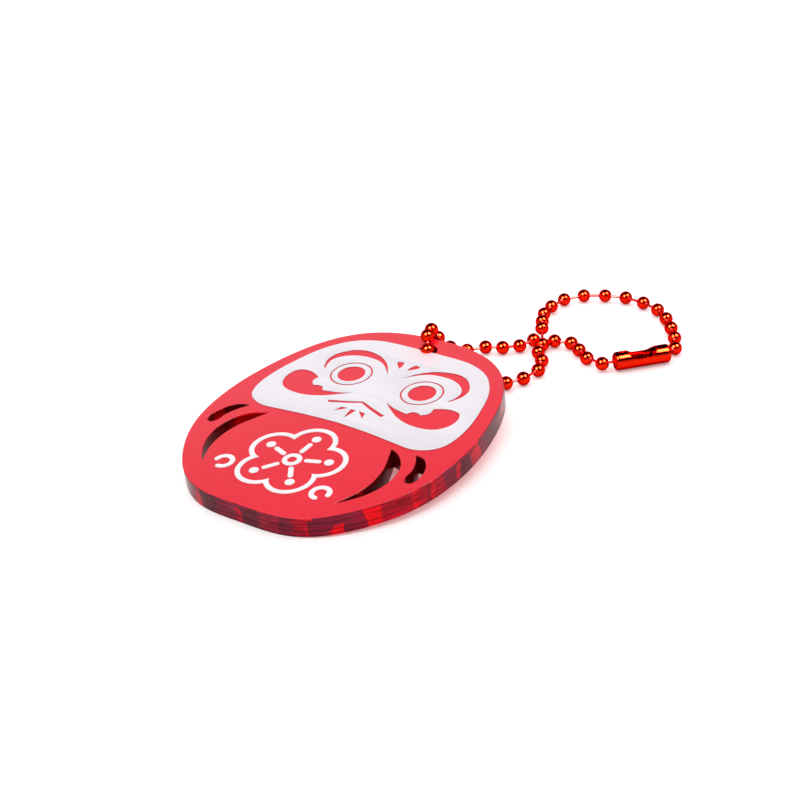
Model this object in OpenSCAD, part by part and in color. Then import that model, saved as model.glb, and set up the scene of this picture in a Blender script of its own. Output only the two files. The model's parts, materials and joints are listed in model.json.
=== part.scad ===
// Daruma charm: a laser-cut acrylic plate with a printed daruma face, on a closed ball chain with a clasp.
// The charm lies on a table, with its head propped up by the chain that passes under it. Millimetres, +Z up.

/* [Plate] */
// Thickness of the acrylic sheet
plate_t = 3.2; // [2.8:0.1:3.4]
// Angle by which the head is raised off the table
plate_tilt = 4.25; // [4:0.05:4.5]
// Diameter of the hole for the chain
hole_d = 3.2; // [3.1:0.05:3.5]
// Distance from the base edge to the middle of the hole
hole_y = 47.6; // [47.5:0.05:47.7]

/* [Print] */
// Thickness of the white ink
ink_t = 0.1; // [0.05:0.01:0.15]
// Diameter of a pupil
pupil_d = 4.5; // [4:0.1:5]
// Outer diameter of the white of an eye
eye_d = 6.45; // [6:0.05:6.8]
// Width of the clear line around the white of an eye
eye_gap = 0.26; // [0.15:0.01:0.4]
// Width of the emblem's lines
line_w = 0.8; // [0.6:0.05:1]

/* [Chain] */
// Outer diameter of a bead
bead_d = 2.3; // [2.2:0.01:2.3]
// Wall of a bead
bead_wall = 0.12; // [0.1:0.01:0.14]
// Diameter of a bead's two holes
bead_hole_d = 0.9; // [0.85:0.01:0.95]
// Diameter of a link pin's wire
pin_d = 0.45; // [0.4:0.01:0.48]
// Diameter of a link pin's round heads
head_d = 1.0; // [0.96:0.01:1.04]
// Distance from the middle of a bead to the middle of a pin's head inside it
head_inset = 0.57; // [0.56:0.01:0.6]

/* [Clasp] */
// Length of the clasp
clasp_len = 9.5; // [9.4:0.05:9.6]
// Outer diameter of the clasp
clasp_d = 3.1; // [3:0.05:3.1]
// Thickness of the clasp's sheet
clasp_wall = 0.2; // [0.15:0.01:0.2]
// Diameter of the opening at each end
mouth_d = 1.96; // [1.9:0.01:2]
// Width of the seam along the top
seam_w = 0.5; // [0.46:0.01:0.6]
// Length of the side window at its top
window_len = 5.4; // [5:0.1:5.6]
// Length of the side window at its bottom
window_floor = 2.2; // [2:0.1:2.6]

/* [Hidden] */
BEADS = 41;
bead_names = [for (i = [1 : BEADS]) str("bead_", i < 10 ? "0" : "", i)];
$fn = 48;
eps = 0.01;

// The middle of the resting charm and chain in plan, which is the frame's origin on the table
rest_middle = [4.15, 45.55];

// The body's outline: its radius about a middle point is a sum of cosine lobes
lobes = [24.55, 4.12, 1.85, 0.66, -0.3, -0.1, -0.33, -0.02, -0.11];
lobe_middle_y = 21;
outline_steps = 180;

// The face panel and its windows, on the sheet: x from the middle, y from the base edge.
// Each shape is a list of smooth runs of points, which meet at corners; only one side is listed.
panel_runs = [
  [[0, 23.7], [6, 23.4], [11, 22.9], [14.6, 22.65], [17.4, 23.75], [18.8, 25.7], [19.3, 28.6],
   [19.05, 32.2], [18.2, 36], [16.9, 40], [15.1, 43], [13.1, 45], [10.4, 46.4], [7, 47.1],
   [0, 47.25]]
];
brow_runs = [
  [[1.35, 38.5], [3.3, 41], [5.6, 42.6], [8.6, 43.3], [10.9, 42.75], [12.4, 41.5], [13.4, 39.9],
   [13.45, 38.1], [12.7, 36.4], [12.1, 35.8]],
  [[12.1, 35.8], [12.6, 37.2], [12.7, 38.6], [11.9, 40], [10.2, 41.15], [8.2, 41.65], [5.5, 41.5],
   [3.6, 40.6], [1.35, 38.5]]
];
drop_runs = [
  [[0.75, 40.8], [1.75, 41.7], [2.3, 42.5]],
  [[2.3, 42.5], [1.2, 42.8]],
  [[1.2, 42.8], [0.8, 42], [0.75, 40.8]]
];
cheek_runs = [
  [[3.35, 31.65], [5.6, 30.75], [8.3, 30.25]],
  [[8.3, 30.25], [8.9, 31.1], [10, 31.15], [10.45, 30.85]],
  [[10.45, 30.85], [11.2, 31.4], [11.55, 32.2], [11.35, 33.15]],
  [[11.35, 33.15], [12.7, 33.85], [14.3, 34.15], [15.8, 33.7], [16.5, 32.3], [16.3, 30.3],
   [15, 28.6], [12.8, 27.9], [10, 28], [7.4, 28.9], [5.2, 30.3], [3.35, 31.65]]
];
mouth_runs = [
  [[0, 30.3], [2.6, 29.3], [5.5, 28.35]],
  [[5.5, 28.35], [5.2, 27.8]],
  [[5.2, 27.8], [2.4, 28.8], [0, 29.85]]
];
whisker_runs = [
  [[1, 27.75], [2.3, 27.6]],
  [[2.3, 27.6], [2.8, 26.2]],
  [[2.8, 26.2], [1, 27.75]]
];
chin_runs = [
  [[0, 27.7], [0.45, 27.7]],
  [[0.45, 27.7], [0.25, 26.3], [0, 25.2]]
];

// The slots that are cut through the sheet as the folds of the robe
big_fold_runs = [
  [[12, 21.4], [13.8, 20.6], [15.8, 18.4], [16.6, 15.4], [16.3, 12.3], [15, 9.4], [12.7, 6.5]],
  [[12.7, 6.5], [14.1, 9.8], [14.6, 13], [14.2, 16.2], [13.2, 18.8], [12, 21.4]]
];
small_fold_runs = [
  [[16.3, 21.7], [18, 21.3], [19.5, 19.5], [20.1, 17.3], [19.8, 15.6], [18.8, 15.3]],
  [[18.8, 15.3], [18.2, 16.4], [18.1, 18.2], [17.3, 20.2], [16.3, 21.7]]
];
run_steps = 6;
eye_x = 7;
eye_y = 36.25;

// The belly emblem: a plum blossom with a stroke and a dot in each petal, and a scroll on either side
emblem_y = 12.6;
petals = 5;
petal_r = 3.6;
petal_ring_r = 4.75;
blossom_hub_r = 1.55;
stamen_r = [2.35, 4.3];
dot_r = 0.75;
dot_ring_r = 5.9;
scroll_r = 1.75;
scroll_place = [9.35, -4.9];

// Bead places at rest: down one strand from the clasp, through the hole, and back along the other.
// Each is [x, y, height of the bead's middle], with y from the base edge.
clasp_middle = [26.7, 70.1];
clasp_turn = 48;
clasp_axis = [cos(clasp_turn), sin(clasp_turn), 0];
clasp_place = [clasp_middle.x, clasp_middle.y, clasp_d / 2];
end_bead_inset = 0.9;
end_bead_reach = clasp_len / 2 - end_bead_inset;
low = bead_d / 2;
upper_strand = [
  [21.9, 65.5, 1.3], [18.5, 66.3, low], [15.8, 68.3, low], [13.3, 69.9, low], [10.4, 69.3, low],
  [7, 68, low], [6.1, 65, low], [3.9, 63.1, low], [1.2, 61.9, low], [-0.6, 59, 1.4],
  [-1.8, 55.9, 3.1], [-2.9, 54.2, 5.4], [-2.5, 52, 7.9], [-1.2, 49.1, 8.3], [0, 47.3, 6.8]
];
lower_strand = [
  [0, 47.25, 3.4], [2.5, 48.6, low], [5.6, 49.7, low], [8.6, 50.9, low], [11.5, 52.5, low],
  [13.1, 55.2, low], [13.7, 58.8, low], [12.4, 62, low], [10.2, 64.4, low], [9.3, 67.2, low]
];
far_loop = [
  [7.35, 70.2, 2.5], [5.35, 73.45, 2], [3.6, 76.85, 1.6], [2.8, 80.6, 1.3], [3.1, 84.4, low],
  [5.4, 87.4, low], [8.8, 89.1, low], [12.5, 90, low], [16.3, 89.5, low], [19.9, 88.1, low],
  [22.9, 85.6, low], [25.4, 82.7, low], [27.7, 79.6, low], [29.6, 76.2, low]
];
places = concat(
  [clasp_place - end_bead_reach * clasp_axis],
  upper_strand, lower_strand, far_loop,
  [clasp_place + end_bead_reach * clasp_axis]
);

function lobe_sum(t) = [for (k = [0 : len(lobes) - 1]) lobes[k] * cos(k * t)] * [for (k = lobes) 1];
function outline_point(t) = [lobe_sum(t) * sin(t), lobe_middle_y + lobe_sum(t) * cos(t)];

// A smooth run through points p, as a Catmull-Rom curve with its ends held
function held(p, i) = p[max(0, min(len(p) - 1, i))];
function curve_at(a, b, c, d, s) =
  b + 0.5 * s * (c - a) + s * s * (a - 2.5 * b + 2 * c - 0.5 * d)
  + s * s * s * (1.5 * (b - c) + 0.5 * (d - a));
function run(p) = [
  for (i = [0 : len(p) - 2], k = [0 : run_steps - 1])
    curve_at(held(p, i - 1), p[i], p[i + 1], held(p, i + 2), k / run_steps)
];
function shape(runs) = [for (r = runs) each len(r) > 2 ? run(r) : [r[0]]];
function flip(p) = [for (q = p) [-q.x, q.y]];
function both_sides(runs, last) = let (p = concat(shape(runs), [last])) concat(
  p, [for (i = [len(p) - 2 : -1 : 1]) [-p[i].x, p[i].y]]
);

module at_rest() translate([-rest_middle.x, -rest_middle.y, 0]) children();
module on_sheet(z = 0) at_rest() rotate([plate_tilt, 0, 0]) translate([0, 0, z]) children();
module left_and_right(runs) {
  polygon(shape(runs));
  polygon(flip(shape(runs)));
}

// The middle of the chain's hole, on the sheet
module hole_outline() translate([0, hole_y]) circle(d = hole_d);

module acrylic_plate() {
  color([0.92, 0.1, 0.16]) on_sheet() difference() {
    linear_extrude(plate_t)
      polygon([for (i = [0 : outline_steps - 1]) outline_point(i * 360 / outline_steps)]);
    translate([0, 0, -eps]) linear_extrude(plate_t + 2 * eps) {
      left_and_right(big_fold_runs);
      left_and_right(small_fold_runs);
    }
    translate([0, hole_y, -eps]) cylinder(d = hole_d, h = plate_t + 2 * eps);
  }
}

module ink() color([0.97, 0.95, 0.97]) on_sheet(plate_t) linear_extrude(ink_t) children();

module face_print() {
  ink() difference() {
    polygon(both_sides(panel_runs, [0, 47.25]));
    left_and_right(brow_runs);
    left_and_right(drop_runs);
    left_and_right(cheek_runs);
    polygon(both_sides(mouth_runs, [0, 29.85]));
    left_and_right(whisker_runs);
    polygon(both_sides(chin_runs, [0, 25.2]));
    for (side = [-1, 1]) translate([side * eye_x, eye_y]) circle(d = eye_d + 2 * eye_gap);
    hole_outline();
  }
}

module eye_print(side) {
  ink() translate([side * eye_x, eye_y]) difference() {
    circle(d = eye_d);
    circle(d = pupil_d);
  }
}

module petal_circles(r) {
  for (i = [0 : petals - 1]) rotate(i * 360 / petals) translate([0, petal_ring_r]) circle(r);
}

module stroke(a, b) {
  translate([-line_w / 2, a]) square([line_w, b - a]);
  for (y = [a, b]) translate([0, y]) circle(line_w / 2);
}

// Three quarters of a ring, with round ends
module scroll() {
  difference() {
    circle(scroll_r);
    circle(scroll_r - line_w);
    translate([0, -2 * scroll_r]) square([4 * scroll_r, 2 * scroll_r]);
  }
  for (p = [[scroll_r - line_w / 2, 0], [0, line_w / 2 - scroll_r]]) translate(p) circle(line_w / 2);
}

module belly_emblem_print() {
  ink() translate([0, emblem_y]) {
    difference() {
      petal_circles(petal_r + line_w / 2);
      petal_circles(petal_r - line_w / 2);
      circle(petal_ring_r);
    }
    difference() {
      circle(blossom_hub_r);
      circle(blossom_hub_r - line_w);
    }
    for (i = [0 : petals - 1]) rotate(i * 360 / petals) {
      stroke(stamen_r[0], stamen_r[1]);
      translate([0, dot_ring_r]) circle(dot_r);
    }
    for (side = [-1, 1]) scale([side, 1]) translate(scroll_place) scroll();
  }
}

// Turns children, which point along +Z, to point from a to b, and places them at a
module along(a, b) {
  v = b - a;
  translate(a) rotate([0, acos(v.z / norm(v)), atan2(v.y, v.x)]) children();
}

// A hollow bead, with a hole towards each of its neighbours
module bead(i) {
  chord = places[min(i + 1, BEADS - 1)] - places[max(i - 1, 0)];
  color([0.85, 0.05, 0.06]) at_rest() difference() {
    translate(places[i]) rotate([0, 0, atan2(chord[1], chord[0]) + 90]) difference() {
      sphere(d = bead_d);
      sphere(d = bead_d - 2 * bead_wall);
    }
    for (j = [i - 1, i + 1]) if (j >= 0 && j < BEADS)
      along(places[i], places[j]) cylinder(d = bead_hole_d, h = bead_d);
  }
}

// A dumbbell pin from bead i to the next one, with a head inside each
module link_pin(i) {
  pitch = norm(places[i + 1] - places[i]);
  color([0.7, 0.04, 0.05]) at_rest() along(places[i], places[i + 1]) {
    translate([0, 0, head_inset]) cylinder(d = pin_d, h = pitch - 2 * head_inset);
    for (z = [head_inset, pitch - head_inset]) translate([0, 0, z]) sphere(d = head_d);
  }
}

module link_pins(numbers) for (i = numbers) link_pin(i);

// The clasp's shell in section: a sheet rolled into a barrel, with its ends turned in
module clasp_section(r, half) {
  turn_in = r - mouth_d / 2;
  translate([0, -half]) square([mouth_d / 2, 2 * half]);
  translate([0, -half + turn_in]) square([r, 2 * (half - turn_in)]);
  for (side = [-1, 1]) intersection() {
    translate([mouth_d / 2, side * (half - turn_in)]) circle(turn_in);
    translate([0, side * half - half / 2]) square([r, half]);
  }
}

// The window's half outline, from the middle of its sill to its top: along the clasp, and above its axis
window_runs = [
  [
    [0, 0.5], [window_floor / 2, 0.52], [(window_floor + window_len) / 4 - 0.1, 0.8],
    [window_len / 2 - 0.3, 1.35], [window_len / 2, clasp_d]
  ],
  [[window_len / 2, clasp_d], [0, clasp_d]]
];

module clasp() {
  r = clasp_d / 2;
  half = clasp_len / 2;
  color([0.85, 0.05, 0.06]) at_rest() translate(clasp_place) rotate(clasp_turn) rotate([90, 0, 90])
    difference() {
      rotate_extrude() difference() {
        clasp_section(r, half);
        clasp_section(r - clasp_wall, half - clasp_wall);
        translate([0, -half - eps]) square([mouth_d / 2, clasp_len + 2 * eps]);
      }
      translate([-seam_w / 2, 0, -half - eps]) cube([seam_w, clasp_d, clasp_len + 2 * eps]);
      translate([clasp_d, 0, 0]) rotate([0, -90, 0]) linear_extrude(2 * clasp_d)
        polygon(both_sides(window_runs, [0, clasp_d]));
    }
}

acrylic_plate();
face_print();
eye_print(-1);  // eye_print_left
eye_print(1);  // eye_print_right
belly_emblem_print();
for (i = [0 : BEADS - 1]) {
  bead(i);
}
link_pins([12 : 20]);  // charm_link_pins
link_pins([7, 8, 9, 10, 11, 21, 22]);  // strand_link_pins
link_pins([3, 4, 5, 6, 23, 24, 25, 26, 27]);  // crossing_link_pins
link_pins([2, 28, 29, 30]);  // near_loop_link_pins
link_pins([1, 31, 32, 33, 34, 35, 36, 37, 38, 39]);  // far_loop_link_pins
link_pin(0);  // end_bead_pin
clasp();
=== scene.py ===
"""The looks of the daruma keychain charm: a laser-cut acrylic plate with white print, on a red ball chain."""

import json
import math

import bmesh
import bpy
import numpy as np
from mathutils import Matrix, Vector
from mathutils.geometry import tessellate_polygon


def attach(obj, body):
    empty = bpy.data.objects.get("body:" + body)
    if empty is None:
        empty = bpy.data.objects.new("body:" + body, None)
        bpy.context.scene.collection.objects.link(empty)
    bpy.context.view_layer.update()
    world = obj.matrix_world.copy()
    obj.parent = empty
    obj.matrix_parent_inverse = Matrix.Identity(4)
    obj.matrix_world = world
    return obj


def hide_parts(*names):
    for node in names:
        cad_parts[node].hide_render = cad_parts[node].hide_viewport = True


MM = 0.001

# --- Driving dimensions, in millimetres ---

REST_MIDDLE = (4.15, 45.55)
PLATE_TILT = math.radians(4.25)
PLATE_T = 3.2
HOLE_D, HOLE_Y = 3.2, 47.6
INK_T, INK_ROUND = 0.1, 0.02
PUPIL_D, EYE_D, EYE_GAP = 4.5, 6.45, 0.26
EYE_X, EYE_Y = 7, 36.25
LINE_W = 0.8
BEAD_D, BEAD_WALL, BEAD_HOLE_D, BEAD_LIP = 2.3, 0.12, 0.9, 0.03
PIN_D, HEAD_D, HEAD_INSET, NECK_LEN = 0.45, 1.0, 0.57, 0.02
CLASP_LEN, CLASP_D, CLASP_WALL, MOUTH_D = 9.5, 3.1, 0.2, 1.96

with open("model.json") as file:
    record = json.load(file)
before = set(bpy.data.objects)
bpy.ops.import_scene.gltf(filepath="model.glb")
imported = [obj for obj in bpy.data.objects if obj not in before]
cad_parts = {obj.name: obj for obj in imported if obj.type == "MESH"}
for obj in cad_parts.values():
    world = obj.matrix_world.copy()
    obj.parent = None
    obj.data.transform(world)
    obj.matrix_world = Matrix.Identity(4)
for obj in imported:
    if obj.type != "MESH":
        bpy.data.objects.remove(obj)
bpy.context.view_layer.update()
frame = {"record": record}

# --- Outlines on the sheet, in millimetres: x from the middle, y from the base edge ---

LOBES = [24.55, 4.12, 1.85, 0.66, -0.3, -0.1, -0.33, -0.02, -0.11]
LOBE_MIDDLE_Y = 21
PANEL = [[(0, 23.7), (6, 23.4), (11, 22.9), (14.6, 22.65), (17.4, 23.75), (18.8, 25.7), (19.3, 28.6),
          (19.05, 32.2), (18.2, 36), (16.9, 40), (15.1, 43), (13.1, 45), (10.4, 46.4), (7, 47.1), (0, 47.25)]]
BROW = [[(1.35, 38.5), (3.3, 41), (5.6, 42.6), (8.6, 43.3), (10.9, 42.75), (12.4, 41.5), (13.4, 39.9),
         (13.45, 38.1), (12.7, 36.4), (12.1, 35.8)],
        [(12.1, 35.8), (12.6, 37.2), (12.7, 38.6), (11.9, 40), (10.2, 41.15), (8.2, 41.65), (5.5, 41.5),
         (3.6, 40.6), (1.35, 38.5)]]
DROP = [[(0.75, 40.8), (1.75, 41.7), (2.3, 42.5)], [(2.3, 42.5), (1.2, 42.8)],
        [(1.2, 42.8), (0.8, 42), (0.75, 40.8)]]
CHEEK = [[(3.35, 31.65), (5.6, 30.75), (8.3, 30.25)],
         [(8.3, 30.25), (8.9, 31.1), (10, 31.15), (10.45, 30.85)],
         [(10.45, 30.85), (11.2, 31.4), (11.55, 32.2), (11.35, 33.15)],
         [(11.35, 33.15), (12.7, 33.85), (14.3, 34.15), (15.8, 33.7), (16.5, 32.3), (16.3, 30.3), (15, 28.6),
          (12.8, 27.9), (10, 28), (7.4, 28.9), (5.2, 30.3), (3.35, 31.65)]]
MOUTH = [[(0, 30.3), (2.6, 29.3), (5.5, 28.35)], [(5.5, 28.35), (5.2, 27.8)],
         [(5.2, 27.8), (2.4, 28.8), (0, 29.85)]]
WHISKER = [[(1, 27.75), (2.3, 27.6)], [(2.3, 27.6), (2.8, 26.2)], [(2.8, 26.2), (1, 27.75)]]
CHIN = [[(0, 27.7), (0.45, 27.7)], [(0.45, 27.7), (0.25, 26.3), (0, 25.2)]]
BIG_FOLD = [[(12, 21.4), (13.8, 20.6), (15.8, 18.4), (16.6, 15.4), (16.3, 12.3), (15, 9.4), (12.7, 6.5)],
            [(12.7, 6.5), (14.1, 9.8), (14.6, 13), (14.2, 16.2), (13.2, 18.8), (12, 21.4)]]
SMALL_FOLD = [[(16.3, 21.7), (18, 21.3), (19.5, 19.5), (20.1, 17.3), (19.8, 15.6), (18.8, 15.3)],
              [(18.8, 15.3), (18.2, 16.4), (18.1, 18.2), (17.3, 20.2), (16.3, 21.7)]]
RUN_STEPS = 12


def run(points, steps=RUN_STEPS):
    """A Catmull-Rom curve through the points, with its ends held."""
    p = [np.array(q, float) for q in points]
    out = []
    for i in range(len(p) - 1):
        a, b = p[max(i - 1, 0)], p[i]
        c, d = p[i + 1], p[min(i + 2, len(p) - 1)]
        for k in range(steps):
            s = k / steps
            out.append(b + 0.5 * s * (c - a) + s * s * (a - 2.5 * b + 2 * c - 0.5 * d)
                       + s ** 3 * (1.5 * (b - c) + 0.5 * (d - a)))
    return out


def shape(runs):
    """A closed outline from runs that meet at corners: two points are a straight side, more are a curve."""
    out = []
    for r in runs:
        out += run(r) if len(r) > 2 else [np.array(r[0], float)]
    return [tuple(q) for q in out]


def flip(points):
    return [(-x, y) for x, y in points]


def both_sides(runs):
    """An outline that is its own mirror image, from the runs of its right half."""
    p = shape(runs) + [runs[-1][-1]]
    return p + flip(p[-2:0:-1])


def round_angles(n):
    return [2 * math.pi * i / n for i in range(n)]


def circle(x, y, d, n=96):
    return [(x + d / 2 * math.cos(a), y + d / 2 * math.sin(a)) for a in round_angles(n)]


def body_outline(n=720):
    """The daruma's outline: its distance from a middle point, as a sum of cosines of the direction."""
    out = []
    for t in round_angles(n):
        r = sum(a * math.cos(k * t) for k, a in enumerate(LOBES))
        out.append((r * math.sin(t), LOBE_MIDDLE_Y + r * math.cos(t)))
    return out


def pair(runs):
    """An outline and its mirror image."""
    s = shape(runs)
    return [s, flip(s)]


# --- Materials ---


def material(name):
    m = bpy.data.materials.new(name)
    m.use_nodes = True
    t = m.node_tree
    return m, t, t.nodes["Principled BSDF"]


def node(t, kind, **values):
    n = t.nodes.new(kind)
    for k, v in values.items():
        setattr(n, k, v)
    return n


def ramp(t, stops):
    n = node(t, "ShaderNodeValToRGB")
    e = n.color_ramp.elements
    while len(e) < len(stops):
        e.new(0.5)
    for el, (pos, col) in zip(e, stops):
        el.position = pos
        el.color = (*col, 1)
    return n


def noise(t, coords, scale, detail=3.0, stretch=(1, 1, 1), roughness=0.5):
    m = node(t, "ShaderNodeMapping")
    m.inputs["Scale"].default_value = stretch
    t.links.new(coords, m.inputs["Vector"])
    n = node(t, "ShaderNodeTexNoise")
    n.inputs["Scale"].default_value = scale
    n.inputs["Detail"].default_value = detail
    n.inputs["Roughness"].default_value = roughness
    t.links.new(m.outputs["Vector"], n.inputs["Vector"])
    return n.outputs["Fac"]


def bump(t, b, height, strength, distance, after=None):
    n = node(t, "ShaderNodeBump")
    n.inputs["Strength"].default_value = strength
    n.inputs["Distance"].default_value = distance
    t.links.new(height, n.inputs["Height"])
    if after:
        t.links.new(after, n.inputs["Normal"])
    t.links.new(n.outputs["Normal"], b.inputs["Normal"])
    return n.outputs["Normal"]


def acrylic_face():
    """The sheet's satin protective-film side: a clear saturated red, with the finest of grain."""
    m, t, b = material("acrylic_face")
    co = node(t, "ShaderNodeTexCoord").outputs["Object"]
    cloud = noise(t, co, 45, 4)
    col = ramp(t, [(0.3, (0.73, 0.004, 0.023)), (0.7, (0.79, 0.006, 0.029))])
    t.links.new(cloud, col.inputs["Fac"])
    t.links.new(col.outputs["Color"], b.inputs["Base Color"])
    rough = node(t, "ShaderNodeMapRange")
    rough.inputs["To Min"].default_value = 0.16
    rough.inputs["To Max"].default_value = 0.26
    t.links.new(noise(t, co, 900, 2), rough.inputs["Value"])
    t.links.new(rough.outputs["Result"], b.inputs["Roughness"])
    b.inputs["IOR"].default_value = 1.49
    bump(t, b, noise(t, co, 2600, 2), 0.06, 0.00003)
    return m


def wall_coords(t):
    """What cut_sheet stores: (mm round the outline, mm up the wall, how far the wall faces LIT_SIDE)."""
    return node(t, "ShaderNodeAttribute", attribute_name="wall").outputs["Vector"]


def reflection_blocks(t, wall):
    """A level for each block of the sheet's inner reflections: skewed cells, lighter in long stretches."""
    sway = node(t, "ShaderNodeTexNoise")
    sway.inputs["Scale"].default_value = 0.3
    sway.inputs["Detail"].default_value = 1
    t.links.new(wall, sway.inputs["Vector"])
    bent = node(t, "ShaderNodeVectorMath", operation="MULTIPLY_ADD")
    t.links.new(sway.outputs["Color"], bent.inputs[0])
    bent.inputs[1].default_value = BLOCK_SWAY
    t.links.new(wall, bent.inputs[2])
    squeeze = node(t, "ShaderNodeMapping")
    squeeze.inputs["Location"].default_value = BLOCK_SHIFT
    squeeze.inputs["Scale"].default_value = BLOCKS_PER_MM
    t.links.new(bent.outputs["Vector"], squeeze.inputs["Vector"])
    blocks = node(t, "ShaderNodeTexVoronoi", distance="CHEBYCHEV")
    blocks.inputs["Scale"].default_value = 1.0
    blocks.inputs["Randomness"].default_value = 0.8
    t.links.new(squeeze.outputs["Vector"], blocks.inputs["Vector"])
    split = node(t, "ShaderNodeSeparateColor")
    t.links.new(blocks.outputs["Color"], split.inputs["Color"])
    level = node(t, "ShaderNodeMath", operation="MULTIPLY_ADD")
    t.links.new(noise(t, wall, 0.07, 1), level.inputs[0])
    level.inputs[1].default_value = 1.2
    t.links.new(split.outputs["Red"], level.inputs[2])
    return level.outputs[0]


def lit_bias(t, wall):
    """Lightens the walls that face LIT_SIDE, and darkens the rest."""
    side = node(t, "ShaderNodeSeparateXYZ")
    t.links.new(wall, side.inputs[0])
    facing = node(t, "ShaderNodeMapRange", interpolation_type="SMOOTHSTEP")
    facing.inputs["From Min"].default_value = 0.72
    facing.inputs["From Max"].default_value = 1.0
    facing.inputs["To Min"].default_value = -0.42
    facing.inputs["To Max"].default_value = 0.24
    t.links.new(side.outputs["Z"], facing.inputs["Value"])
    return facing.outputs["Result"]


def multiplied(t, first, second):
    """Two colours multiplied."""
    n = node(t, "ShaderNodeMix", data_type="RGBA", blend_type="MULTIPLY")
    n.inputs["Factor"].default_value = 1.0
    t.links.new(first, n.inputs["A"])
    t.links.new(second, n.inputs["B"])
    return n.outputs["Result"]


def acrylic_edge(name, stops, dark_lines):
    """A laser-cut wall: blocks of the sheet's inner reflections, under fine layered striations."""
    m, t, b = material(name)
    wall = wall_coords(t)
    biased = node(t, "ShaderNodeMath", operation="ADD")
    t.links.new(reflection_blocks(t, wall), biased.inputs[0])
    t.links.new(lit_bias(t, wall), biased.inputs[1])
    half = node(t, "ShaderNodeMath", operation="MULTIPLY")
    half.inputs[1].default_value = 0.5
    t.links.new(biased.outputs[0], half.inputs[0])
    col = ramp(t, stops)
    t.links.new(half.outputs[0], col.inputs["Fac"])
    layers = noise(t, wall, 2.4, 3, (0.05, 1.0, 0), 0.75)
    grain = noise(t, wall, 6.0, 3, (1.0, 0.3, 0), 0.7)
    shade = ramp(t, [(0.42, (dark_lines,) * 3), (0.52, (1.0,) * 3), (0.62, (1.25, 1.3, 1.3))])
    t.links.new(layers, shade.inputs["Fac"])
    fleck = ramp(t, [(0.36, (0.62,) * 3), (0.62, (1.15,) * 3)])
    t.links.new(grain, fleck.inputs["Fac"])
    marks = multiplied(t, shade.outputs["Color"], fleck.outputs["Color"])
    t.links.new(multiplied(t, col.outputs["Color"], marks), b.inputs["Base Color"])
    b.inputs["Roughness"].default_value = 0.2
    b.inputs["IOR"].default_value = 1.42
    b.inputs["Specular IOR Level"].default_value = 0.12
    first = bump(t, b, layers, 0.7, 0.00004)
    bump(t, b, grain, 0.3, 0.00002, first)
    return m


def white_ink(name, tint):
    m, t, b = material(name)
    co = node(t, "ShaderNodeTexCoord").outputs["Object"]
    col = ramp(t, [(0.3, tuple(c * 0.955 for c in tint)), (0.65, tint)])
    t.links.new(noise(t, co, 3200, 2), col.inputs["Fac"])
    t.links.new(col.outputs["Color"], b.inputs["Base Color"])
    b.inputs["Roughness"].default_value = 0.42
    b.inputs["Specular IOR Level"].default_value = 0.3
    bump(t, b, noise(t, co, 2400, 2), 0.08, 0.00002)
    return m


def painted_print_shadow():
    """Painted shadow: the dark line where the print's edge meets the clear sheet, standing in for the shadow
    the print casts into the sheet.
    """
    m, t, b = material("print_edge_painted_shadow")
    co = node(t, "ShaderNodeTexCoord").outputs["Object"]
    col = ramp(t, [(0.3, (0.22, 0.004, 0.014)), (0.7, (0.34, 0.008, 0.024))])
    t.links.new(noise(t, co, 800, 2), col.inputs["Fac"])
    t.links.new(col.outputs["Color"], b.inputs["Base Color"])
    b.inputs["Roughness"].default_value = 0.35
    return m


def candy_red(name, dark, light, roughness=0.05):
    """Bright metal under a red anodised layer, with faint draw marks."""
    m, t, b = material(name)
    co = node(t, "ShaderNodeTexCoord").outputs["Object"]
    col = ramp(t, [(0.3, dark), (0.7, light)])
    t.links.new(noise(t, co, 700, 3), col.inputs["Fac"])
    t.links.new(col.outputs["Color"], b.inputs["Base Color"])
    b.inputs["Metallic"].default_value = 1.0
    b.inputs["Specular Tint"].default_value = (0.30, 0.04, 0.03, 1)
    rough = node(t, "ShaderNodeMapRange")
    rough.inputs["To Min"].default_value = roughness * 0.6
    rough.inputs["To Max"].default_value = roughness * 1.8
    t.links.new(noise(t, co, 1800, 3), rough.inputs["Value"])
    t.links.new(rough.outputs["Result"], b.inputs["Roughness"])
    bump(t, b, noise(t, co, 2400, 2), 0.08, 0.00001)
    return m


LIT_SIDE = (0.76, -0.65)
BLOCK_SWAY = (1.6, 1.2, 0)
BLOCK_SHIFT = (0.35, 0.1, 0)
BLOCKS_PER_MM = (0.38, 0.20, 0)
SCARLET = (0.90, 0.0, 0.006)
EDGE_STOPS = [(0.0, (0.075, 0.006, 0.016)), (0.34, (0.19, 0.007, 0.026)), (0.46, (0.24, 0.007, 0.028)),
              (0.52, (0.34, 0.003, 0.020)), (0.60, (0.52, 0.001, 0.016)), (0.66, SCARLET)]
SLOT_STOPS = [(0.0, (0.10, 0.001, 0.003)), (0.46, (0.20, 0.001, 0.003)), (0.60, (0.34, 0.001, 0.003)),
              (0.66, SCARLET)]
CHAIN_DARK, CHAIN_LIGHT = (0.56, 0.009, 0.002), (0.68, 0.015, 0.003)
FACE = acrylic_face()
EDGE = acrylic_edge("acrylic_cut_edge", EDGE_STOPS, 0.5)
SLOT_EDGE = acrylic_edge("acrylic_slot_edge", SLOT_STOPS, 0.4)
PANEL_INK = white_ink("face_ink", (0.74, 0.70, 0.75))
LINE_INK = white_ink("emblem_ink", (0.82, 0.80, 0.82))
# painted shadow: a dark red for the side walls of the face and eye prints
PAINTED_PRINT_SHADOW = painted_print_shadow()
BEAD_METAL = candy_red("bead_red", CHAIN_DARK, CHAIN_LIGHT)
PIN_METAL = candy_red("pin_red", (0.72, 0.030, 0.025), (0.85, 0.055, 0.045), 0.2)
CLASP_METAL = candy_red("clasp_red", CHAIN_DARK, CHAIN_LIGHT, 0.06)

# --- The plate and its print ---

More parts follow.
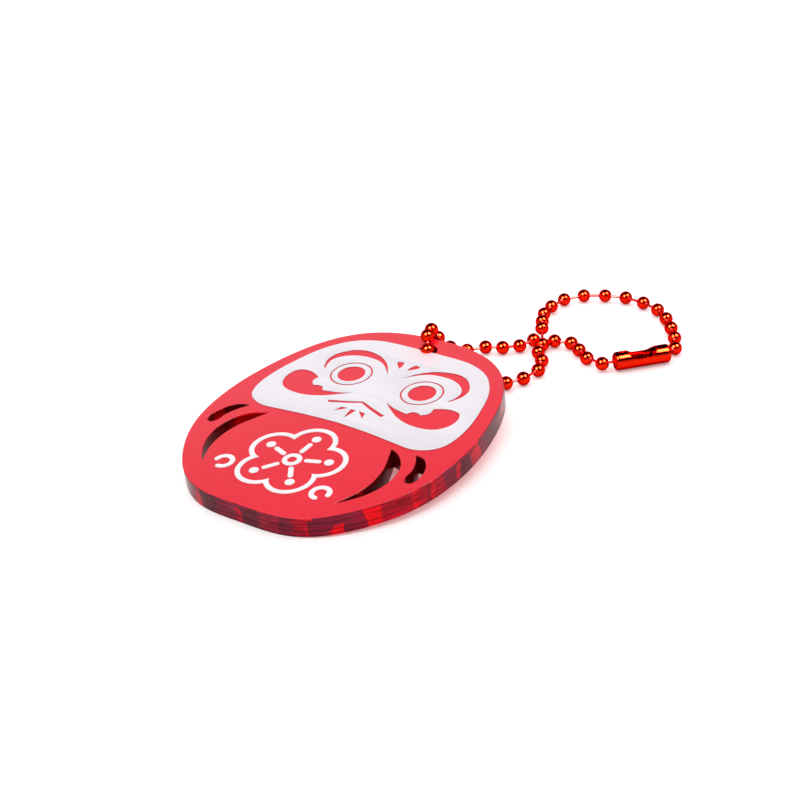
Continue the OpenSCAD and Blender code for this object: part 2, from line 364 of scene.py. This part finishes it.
TO_REST = Matrix.Translation(Vector((-REST_MIDDLE[0] * MM, -REST_MIDDLE[1] * MM, 0)))
ON_SHEET = TO_REST @ Matrix.Rotation(PLATE_TILT, 4, "X")


def into_scene(name, data):
    o = bpy.data.objects.new(name, data)
    bpy.context.scene.collection.objects.link(o)
    return o


def face_out(me, weld=False):
    """Turns every face outwards, after welding the points that coincide."""
    bm = bmesh.new()
    bm.from_mesh(me)
    if weld:
        bmesh.ops.remove_doubles(bm, verts=bm.verts, dist=1e-7)
    bmesh.ops.recalc_face_normals(bm, faces=bm.faces)
    bm.to_mesh(me)
    bm.free()


def evaluated_mesh(o):
    bpy.context.view_layer.update()
    return bpy.data.meshes.new_from_object(o.evaluated_get(bpy.context.evaluated_depsgraph_get()))


def print_layer(name, loops):
    """A thin slab on the sheet's face, cut by the even-odd rule, with its edges slightly rounded."""
    c = bpy.data.curves.new(name, "CURVE")
    c.dimensions = "2D"
    c.fill_mode = "BOTH"
    c.extrude = (INK_T / 2 - INK_ROUND) * MM
    c.bevel_depth = INK_ROUND * MM
    c.offset = -INK_ROUND * MM
    c.bevel_resolution = 1
    for loop in loops:
        s = c.splines.new("POLY")
        s.points.add(len(loop) - 1)
        for p, (x, y) in zip(s.points, loop):
            p.co = (x * MM, y * MM, 0, 1)
        s.use_cyclic_u = True
    temp = into_scene(name + "_curve", c)
    me = evaluated_mesh(temp)
    bpy.data.objects.remove(temp)
    face_out(me, weld=True)
    me.name = name
    me.transform(Matrix.Translation(Vector((0, 0, (PLATE_T + INK_T / 2) * MM))))
    return into_scene(name, me)


def place_on_sheet(o, node_name):
    o.data.transform(ON_SHEET)
    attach(o, "charm")
    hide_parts(node_name)
    return o


def smooth(me, angle=35):
    me.shade_smooth()
    me.set_sharp_from_angle(angle=math.radians(angle))


def normals_of(loop):
    """Unit normals of a closed outline, to its right."""
    p = np.array(loop)
    d = np.roll(p, -1, 0) - np.roll(p, 1, 0)
    n = np.column_stack([d[:, 1], -d[:, 0]])
    return n / np.maximum(np.linalg.norm(n, axis=1, keepdims=True), 1e-9)


def area_of(loop):
    p = np.array(loop)
    q = np.roll(p, -1, 0)
    return 0.5 * float((p[:, 0] * q[:, 1] - q[:, 0] * p[:, 1]).sum())


RIM, LAYERS = 0.07, 22
OUTLINE_SHIFT = 97
FLAT, OUTER_WALL, SLOT_WALL = 0, 1, 2


def wall_rows():
    """(how far in from the cut, height) up the wall, with eased rims and the beam's faint layers."""
    rows = [(RIM * (1 - math.sin(a)), RIM * (1 - math.cos(a))) for a in np.linspace(0, math.pi / 2, 5)]
    for i in range(1, LAYERS):
        depth = 0.004 + 0.004 * math.sin(2.1 * i) + 0.003 * math.sin(5.3 * i + 1)
        rows.append((depth, RIM + (PLATE_T - 2 * RIM) * i / LAYERS))
    return rows + [(d, PLATE_T - z) for d, z in reversed(rows[:5])]


def cut_sheet(name, outer, holes):
    """The acrylic sheet: flat faces, and round each outline a layered wall that stores its coordinates."""
    verts, faces, kinds, wall = [], [], [], []
    bottoms, tops = [], []
    rows = wall_rows()
    for k, loop in enumerate([outer, *holes]):
        p = loop if area_of(loop) > 0 else loop[::-1]
        if k:
            p = p[::-1]
        pts, nrm = np.array(p), normals_of(p)
        s = np.concatenate([[0], np.cumsum(np.linalg.norm(np.diff(pts, axis=0), axis=1))])
        n, start = len(p), len(verts)
        for inward, z in rows:
            for (x, y), (nx, ny), along in zip(pts, nrm, s):
                verts.append((x - nx * inward, y - ny * inward, z))
                wall.append((along + OUTLINE_SHIFT * k, z, nx * LIT_SIDE[0] + ny * LIT_SIDE[1]))
        for i in range(len(rows) - 1):
            for j in range(n):
                a, b = start + i * n + j, start + i * n + (j + 1) % n
                faces.append((a, b, b + n, a + n))
                kinds.append(SLOT_WALL if k else OUTER_WALL)
        bottoms.append(range(start, start + n))
        tops.append(range(start + (len(rows) - 1) * n, start + len(rows) * n))
    for loops in (bottoms, tops):
        flat = [[Vector((*verts[i][:2], 0)) for i in loop] for loop in loops]
        index = [i for loop in loops for i in loop]
        for tri in tessellate_polygon(flat):
            faces.append(tuple(index[i] for i in tri))
            kinds.append(FLAT)
    me = bpy.data.meshes.new(name)
    me.from_pydata([Vector(v) * MM for v in verts], [], faces)
    stored = me.attributes.new("wall", "FLOAT_VECTOR", "POINT")
    stored.data.foreach_set("vector", [c for w in wall for c in w])
    for m in (FACE, EDGE, SLOT_EDGE):
        me.materials.append(m)
    me.polygons.foreach_set("material_index", kinds)
    face_out(me)
    smooth(me, 30)
    for f in me.polygons:
        if f.material_index == FLAT:
            f.use_smooth = False
    return into_scene(name, me)


plate_holes = [circle(0, HOLE_Y, HOLE_D, 72), *pair(BIG_FOLD), *pair(SMALL_FOLD)]
plate = cut_sheet("acrylic_sheet", body_outline(), plate_holes)
place_on_sheet(plate, "acrylic_plate")

eye_windows = [circle(x, EYE_Y, EYE_D + 2 * EYE_GAP) for x in (-EYE_X, EYE_X)]
face_loops = [both_sides(PANEL), *pair(BROW), *pair(DROP), *pair(CHEEK), both_sides(MOUTH), *pair(WHISKER),
              both_sides(CHIN), *eye_windows]


def ink_piece(name, loops, node_name, mat, edge):
    o = print_layer(name, loops)
    o.data.materials.append(mat)
    o.data.materials.append(edge)
    # the side faces take the edge material; for the face and eye prints this is a dark red painted shadow
    for f in o.data.polygons:
        f.material_index = 1 if abs(f.normal.z) < 0.8 else 0
    smooth(o.data, 50)
    return place_on_sheet(o, node_name)


# the face and eye prints carry the painted shadow on their side walls
ink_piece("white_face_print", face_loops, "face_print", PANEL_INK, PAINTED_PRINT_SHADOW)
for side, label in ((-1, "left"), (1, "right")):
    ring = [circle(side * EYE_X, EYE_Y, d) for d in (EYE_D, PUPIL_D)]
    ink_piece("white_eye_" + label, ring, "eye_print_" + label, PANEL_INK, PAINTED_PRINT_SHADOW)


EMBLEM_Y = 12.6
PETALS, PETAL_R, PETAL_RING_R = 5, 3.6, 4.75
HUB_R, STAMEN_R, DOT_R, DOT_RING_R = 1.55, (2.35, 4.3), 0.75, 5.9
SCROLL_R, SCROLL_PLACE = 1.75, (9.35, -4.9)


def petal_outline(r, n=360):
    """The outer edge of a ring of equal round petals about the emblem's middle."""
    out = []
    for a in round_angles(n):
        d = (a + math.pi / PETALS) % (2 * math.pi / PETALS) - math.pi / PETALS
        q = PETAL_RING_R * math.cos(d) + math.sqrt(r * r - (PETAL_RING_R * math.sin(d)) ** 2)
        out.append((-q * math.sin(a), EMBLEM_Y + q * math.cos(a)))
    return out


def arc(x, y, r, a0, a1, n):
    return [(x + r * math.cos(a), y + r * math.sin(a)) for a in np.linspace(a0, a1, n)]


def scroll():
    """Three quarters of a ring, with round ends."""
    w, mid = LINE_W / 2, SCROLL_R - LINE_W / 2
    x, y = SCROLL_PLACE
    points = arc(x, y, SCROLL_R, 0, 1.5 * math.pi, 40)
    points += arc(x, y - mid, w, -math.pi / 2, math.pi / 2, 12)[1:]
    points += arc(x, y, SCROLL_R - LINE_W, 1.5 * math.pi, 0, 30)[1:]
    points += arc(x + mid, y, w, math.pi, 2 * math.pi, 12)[1:-1]
    return points


def emblem_loops():
    loops = [petal_outline(PETAL_R + LINE_W / 2), petal_outline(PETAL_R - LINE_W / 2)]
    loops += [circle(0, EMBLEM_Y, 2 * HUB_R), circle(0, EMBLEM_Y, 2 * (HUB_R - LINE_W))]
    w = LINE_W / 2
    for a in round_angles(PETALS):
        bar = arc(0, STAMEN_R[1], w, 0, math.pi, 14) + arc(0, STAMEN_R[0], w, math.pi, 2 * math.pi, 14)
        dot = circle(0, DOT_RING_R, 2 * DOT_R, 40)
        for part in (bar, dot):
            loops.append([(x * math.cos(a) - y * math.sin(a), EMBLEM_Y + x * math.sin(a) + y * math.cos(a))
                          for x, y in part])
    for side in (-1, 1):
        loops.append([(side * x, EMBLEM_Y + y) for x, y in scroll()])
    return loops


ink_piece("white_belly_emblem", emblem_loops(), "belly_emblem_print", LINE_INK, LINE_INK)

# --- The chain ---

LOW = BEAD_D / 2
TURN = math.radians(48)
CLASP_AXIS = Vector((math.cos(TURN), math.sin(TURN), 0))
CLASP_MID = Vector((26.7, 70.1, CLASP_D / 2))
END_REACH = CLASP_LEN / 2 - 0.9
UPPER = [(21.9, 65.5, 1.3), (18.5, 66.3, LOW), (15.8, 68.3, LOW), (13.3, 69.9, LOW), (10.4, 69.3, LOW),
         (7, 68, LOW), (6.1, 65, LOW), (3.9, 63.1, LOW), (1.2, 61.9, LOW), (-0.6, 59, 1.4),
         (-1.8, 55.9, 3.1), (-2.9, 54.2, 5.4), (-2.5, 52, 7.9), (-1.2, 49.1, 8.3), (0, 47.3, 6.8)]
LOWER = [(0, 47.25, 3.4), (2.5, 48.6, LOW), (5.6, 49.7, LOW), (8.6, 50.9, LOW), (11.5, 52.5, LOW),
         (13.1, 55.2, LOW), (13.7, 58.8, LOW), (12.4, 62, LOW), (10.2, 64.4, LOW), (9.3, 67.2, LOW)]
FAR_LOOP = [(7.35, 70.2, 2.5), (5.35, 73.45, 2), (3.6, 76.85, 1.6), (2.8, 80.6, 1.3), (3.1, 84.4, LOW),
            (5.4, 87.4, LOW), (8.8, 89.1, LOW), (12.5, 90, LOW), (16.3, 89.5, LOW), (19.9, 88.1, LOW),
            (22.9, 85.6, LOW), (25.4, 82.7, LOW), (27.7, 79.6, LOW), (29.6, 76.2, LOW)]
PLACES = [CLASP_MID - END_REACH * CLASP_AXIS, *map(Vector, UPPER + LOWER + FAR_LOOP),
          CLASP_MID + END_REACH * CLASP_AXIS]
AT_REST = Vector((-REST_MIDDLE[0], -REST_MIDDLE[1], 0))


def lathe(profile, angles):
    """Turns (radius, height) points about Z, as a closed ring of quads. Returns vertices and faces."""
    verts = [(r * math.cos(a), r * math.sin(a), z) for r, z in profile for a in angles]
    n, m = len(angles), len(profile)
    faces = [(i * n + j, i * n + (j + 1) % n, ((i + 1) % m) * n + (j + 1) % n, ((i + 1) % m) * n + j)
             for i in range(m) for j in range(n)]
    return verts, faces


def add_object(name, verts, faces, mat, angle=40):
    me = bpy.data.meshes.new(name)
    me.from_pydata([tuple(v) for v in verts], [], faces)
    face_out(me)
    me.materials.append(mat)
    smooth(me, angle)
    return into_scene(name, me)


def bead_profile():
    """A hollow bead's wall in section, from hole to hole over the outside and back, with rounded lips."""
    ro, ri, rh, lip = BEAD_D / 2, BEAD_D / 2 - BEAD_WALL, BEAD_HOLE_D / 2, BEAD_LIP
    a_out, a_in = math.asin((rh + lip) / ro), math.asin(rh / ri)
    outer = [(ro * math.sin(a), ro * math.cos(a)) for a in np.linspace(a_out, math.pi - a_out, 33)]
    inner = [(ri * math.sin(a), ri * math.cos(a)) for a in np.linspace(math.pi - a_in, a_in, 17)]
    z_lip = outer[0][1]
    near = [(rh + lip * (1 - math.cos(t)), z_lip - lip * (1 - math.sin(t))) for t in (0, 0.5, 1.0)]
    far = [(r, -z) for r, z in reversed(near)]
    return outer + far + inner + near


SEAM_DEPTH = 0.02
SEAM_SIDE, SEAM_LIP = 0.05, 0.13
BEND_SPAN = 0.92
BEAD_ANGLES = [0.0, SEAM_SIDE, *np.linspace(SEAM_LIP, 2 * math.pi - SEAM_LIP, 38), 2 * math.pi - SEAM_SIDE]
PROFILE = bead_profile()


def bead_mesh(to_a, to_b):
    """A bead whose two holes point at its neighbours: a straight bead's shell, slid round the sphere."""
    verts, faces = lathe(PROFILE, BEAD_ANGLES)
    v = np.array(verts)
    n = len(BEAD_ANGLES)
    rad = np.linalg.norm(v, axis=1)
    seam = (np.arange(len(v)) % n == 0) & (rad > BEAD_D / 2 - 0.005)
    v[seam] *= 1 - SEAM_DEPTH / (BEAD_D / 2)
    z = (to_a - to_b).normalized()
    side = to_a + to_b
    side = side - side.dot(z) * z
    if side.length < 1e-4:
        side = z.orthogonal()
    x = side.normalized()
    bend = math.acos(max(-1, min(1, to_a.dot(z))))
    c = np.clip(v[:, 2] / np.maximum(rad, 1e-9) / BEND_SPAN, -1, 1)
    turn = bend * np.sin(c * math.pi / 2)
    vx, vz = v[:, 0].copy(), v[:, 2].copy()
    # both holes lean towards +x, the side on which the two neighbours lie
    v[:, 0] = vx * np.cos(turn) + vz * np.sin(turn)
    v[:, 2] = vz * np.cos(turn) - vx * np.sin(turn)
    y = z.cross(x)
    basis = np.array([list(x), list(y), list(z)])
    return v @ basis, faces


PIN_SIDES = 20


def pin_profile(pitch):
    """A dumbbell in section, from one head to the other: (radius, distance from the first bead's middle)."""
    r, h = PIN_D / 2, HEAD_D / 2
    neck = math.asin(r / h)
    head = [(h * math.sin(a), h * math.cos(a)) for a in np.linspace(math.pi - 1e-3, neck, 16)]
    head.append((r, head[-1][1] + NECK_LEN))
    first = [(q, HEAD_INSET + z) for q, z in head]
    return first + [(q, pitch - z) for q, z in reversed(first)]


def pin_mesh(a, b):
    z = (b - a).normalized()
    x = z.orthogonal().normalized()
    y = z.cross(x)
    n = PIN_SIDES
    profile = pin_profile((b - a).length)
    angles = round_angles(n)
    verts = [a + x * (r * math.cos(t)) + y * (r * math.sin(t)) + z * h for r, h in profile for t in angles]
    m = len(profile)
    faces = [(i * n + j, i * n + (j + 1) % n, (i + 1) * n + (j + 1) % n, (i + 1) * n + j)
             for i in range(m - 1) for j in range(n)]
    faces += [tuple(range(n)), tuple(reversed(range((m - 1) * n, m * n)))]
    return verts, faces


BODY_OF_NODE = {n: body for body, nodes in frame["record"]["behaviour"]["bodies"].items() for n in nodes}


def to_row(v):
    return (Vector(v) + AT_REST) * MM


for i, place in enumerate(PLACES):
    node_name = "bead_%02d" % (i + 1)
    before = PLACES[i - 1] if i > 0 else None
    after = PLACES[i + 1] if i + 1 < len(PLACES) else None
    if before is None:
        before = place - (after - place)
    if after is None:
        after = place - (before - place)
    verts, faces = bead_mesh((before - place).normalized(), (after - place).normalized())
    bead = add_object("ball_%02d" % (i + 1), [to_row(Vector(v) + place) for v in verts], faces, BEAD_METAL)
    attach(bead, BODY_OF_NODE[node_name])
    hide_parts(node_name)

PIN_GROUPS = {
    "charm_link_pins": range(12, 21), "strand_link_pins": [7, 8, 9, 10, 11, 21, 22],
    "crossing_link_pins": [3, 4, 5, 6, 23, 24, 25, 26, 27], "near_loop_link_pins": [2, 28, 29, 30],
    "far_loop_link_pins": [1, *range(31, 40)], "end_bead_pin": [0],
}
for node_name, numbers in PIN_GROUPS.items():
    all_verts, all_faces = [], []
    for i in numbers:
        verts, faces = pin_mesh(PLACES[i], PLACES[i + 1])
        start = len(all_verts)
        all_verts += [to_row(v) for v in verts]
        all_faces += [tuple(start + k for k in f) for f in faces]
    pins = add_object("dumbbells_" + BODY_OF_NODE[node_name], all_verts, all_faces, PIN_METAL)
    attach(pins, BODY_OF_NODE[node_name])
    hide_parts(node_name)

# --- The clasp ---


def clasp_profile():
    """The barrel's wall in section, as (radius, height): from end to end outside, and back inside."""
    half, mouth = CLASP_LEN / 2, MOUTH_D / 2
    turn_in = CLASP_D / 2 - mouth
    straight = np.linspace(half - turn_in, turn_in - half, 25)[1:-1]

    def skin(r, steps):
        turned = [(mouth + r * math.sin(a), half - turn_in + r * math.cos(a))
                  for a in np.linspace(0, math.pi / 2, steps)]
        return turned + [(mouth + r, z) for z in straight] + [(x, -z) for x, z in reversed(turned)]

    return skin(turn_in, 13) + skin(turn_in - CLASP_WALL, 9)[::-1]


def prism(name, outline, x0, x1):
    """A prism along X with the outline in Z (along the clasp) and Y (up)."""
    n = len(outline)
    verts = [(x, y, z) for x in (x0, x1) for z, y in outline]
    faces = [tuple(range(n)), tuple(range(2 * n - 1, n - 1, -1))]
    faces += [(i, n + i, n + (i + 1) % n, (i + 1) % n) for i in range(n)]
    return add_object(name, verts, faces, CLASP_METAL)


def cut(o, tool):
    mod = o.modifiers.new("cut", "BOOLEAN")
    mod.operation = "DIFFERENCE"
    mod.solver = "EXACT"
    mod.object = tool
    me = evaluated_mesh(o)
    o.modifiers.clear()
    o.data = me
    bpy.data.objects.remove(tool)


WINDOW_LEN, WINDOW_FLOOR, SEAM_GAP = 5.4, 2.2, 0.5
WINDOW = [[(0, 0.5), (WINDOW_FLOOR / 2, 0.52), ((WINDOW_FLOOR + WINDOW_LEN) / 4 - 0.1, 0.8),
           (WINDOW_LEN / 2 - 0.3, 1.35), (WINDOW_LEN / 2, CLASP_D)],
          [(WINDOW_LEN / 2, CLASP_D), (0, CLASP_D)]]
verts, faces = lathe(clasp_profile(), round_angles(96))
clasp = add_object("barrel_clasp", verts, faces, CLASP_METAL, 30)
cut(clasp, prism("window_tool", both_sides(WINDOW), -CLASP_D, CLASP_D))
seam_side = [(-CLASP_LEN, 0), (CLASP_LEN, 0), (CLASP_LEN, CLASP_D), (-CLASP_LEN, CLASP_D)]
cut(clasp, prism("seam_tool", seam_side, -SEAM_GAP / 2, SEAM_GAP / 2))
smooth(clasp.data, 30)
up = Vector((0, 0, 1))
clasp_frame = Matrix((up.cross(CLASP_AXIS), up, CLASP_AXIS)).transposed().to_4x4()
clasp.data.transform(Matrix.Translation(to_row(CLASP_MID)) @ clasp_frame @ Matrix.Scale(MM, 4))
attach(clasp, "clasp")
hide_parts("clasp")

# --- Floor, lights and camera ---

FLOOR_HALF = 6.0
floor_mat, _, fb = material("pale_floor")
fb.inputs["Base Color"].default_value = (0.94, 0.94, 0.94, 1)
fb.inputs["Roughness"].default_value = 0.9
fb.inputs["Specular IOR Level"].default_value = 0.1
fb.inputs["Emission Color"].default_value = (1, 1, 1, 1)
fb.inputs["Emission Strength"].default_value = 0.22
floor_corners = [(x * FLOOR_HALF, y * FLOOR_HALF, 0) for x, y in ((-1, -1), (1, -1), (1, 1), (-1, 1))]
floor = add_object("floor", floor_corners, [(0, 1, 2, 3)], floor_mat)

world = bpy.data.worlds.new("studio")
world.use_nodes = True
wt = world.node_tree
sky = node(wt, "ShaderNodeSeparateXYZ")
sky_direction = node(wt, "ShaderNodeTexCoord").outputs["Generated"]
wt.links.new(sky_direction, sky.inputs[0])
WHITE, DIM = (1.0,) * 3, (0.04,) * 3
BACKDROP_SIDE = (-0.707, 0.707, 0)
sweep = ramp(wt, [(0.0, WHITE), (0.53, WHITE), (0.62, DIM)])
behind = node(wt, "ShaderNodeVectorMath", operation="DOT_PRODUCT")
wt.links.new(sky_direction, behind.inputs[0])
behind.inputs[1].default_value = BACKDROP_SIDE
away = node(wt, "ShaderNodeMapRange", interpolation_type="SMOOTHSTEP")
away.inputs["From Min"].default_value = 0.35
away.inputs["From Max"].default_value = 0.72
away.inputs["To Min"].default_value = 0.23
away.inputs["To Max"].default_value = 0.0
wt.links.new(behind.outputs["Value"], away.inputs["Value"])
height = node(wt, "ShaderNodeMath", operation="ADD")
wt.links.new(sky.outputs["Z"], height.inputs[0])
wt.links.new(away.outputs["Result"], height.inputs[1])
wt.links.new(height.outputs[0], sweep.inputs["Fac"])
wt.links.new(sweep.outputs["Color"], wt.nodes["Background"].inputs["Color"])
bpy.context.scene.world = world


SOFTBOX_SIZE, SOFTBOX_POWER = 0.62, 62


def aim(o, direction):
    """Turns a lamp to shine from this direction."""
    o.rotation_euler = Vector(direction).to_track_quat("Z", "Y").to_euler()


def sky_light():
    """A broad, even overhead light."""
    lamp = bpy.data.lights.new("overhead", "SUN")
    lamp.energy = 3.4
    lamp.angle = math.radians(120)
    o = into_scene("overhead", lamp)
    aim(o, (-0.25, 0.25, 1))
    o.visible_glossy = False


def softbox(name, direction):
    """A round lamp one metre away that reflections show and matt surfaces don't catch."""
    lamp = bpy.data.lights.new(name, "AREA")
    lamp.shape = "DISK"
    lamp.size = SOFTBOX_SIZE
    lamp.energy = SOFTBOX_POWER
    o = into_scene(name, lamp)
    o.location = Vector(direction).normalized()
    aim(o, direction)
    o.visible_diffuse = False


sky_light()
softbox("softbox_left", (-0.10, -0.60, 0.79))
softbox("softbox_right", (0.54, 0.15, 0.82))

cam = bpy.data.cameras.new("camera")
cam.lens = 72
cam.sensor_width = 36
cam.clip_start = 0.005
camera = into_scene("camera", cam)
camera_place = (142.39, -137.80, 122.21)
right = Vector((0.80167, 0.59272, -0.07749))
down = Vector((0.22500, -0.41928, -0.87954))
forward = Vector((-0.55380, 0.68767, -0.46947))
turned = Matrix((right, -down, -forward)).transposed().to_4x4()
camera.matrix_world = Matrix.Translation(to_row(camera_place)) @ turned
bpy.context.scene.camera = camera
bpy.context.scene.view_settings.view_transform = "Standard"
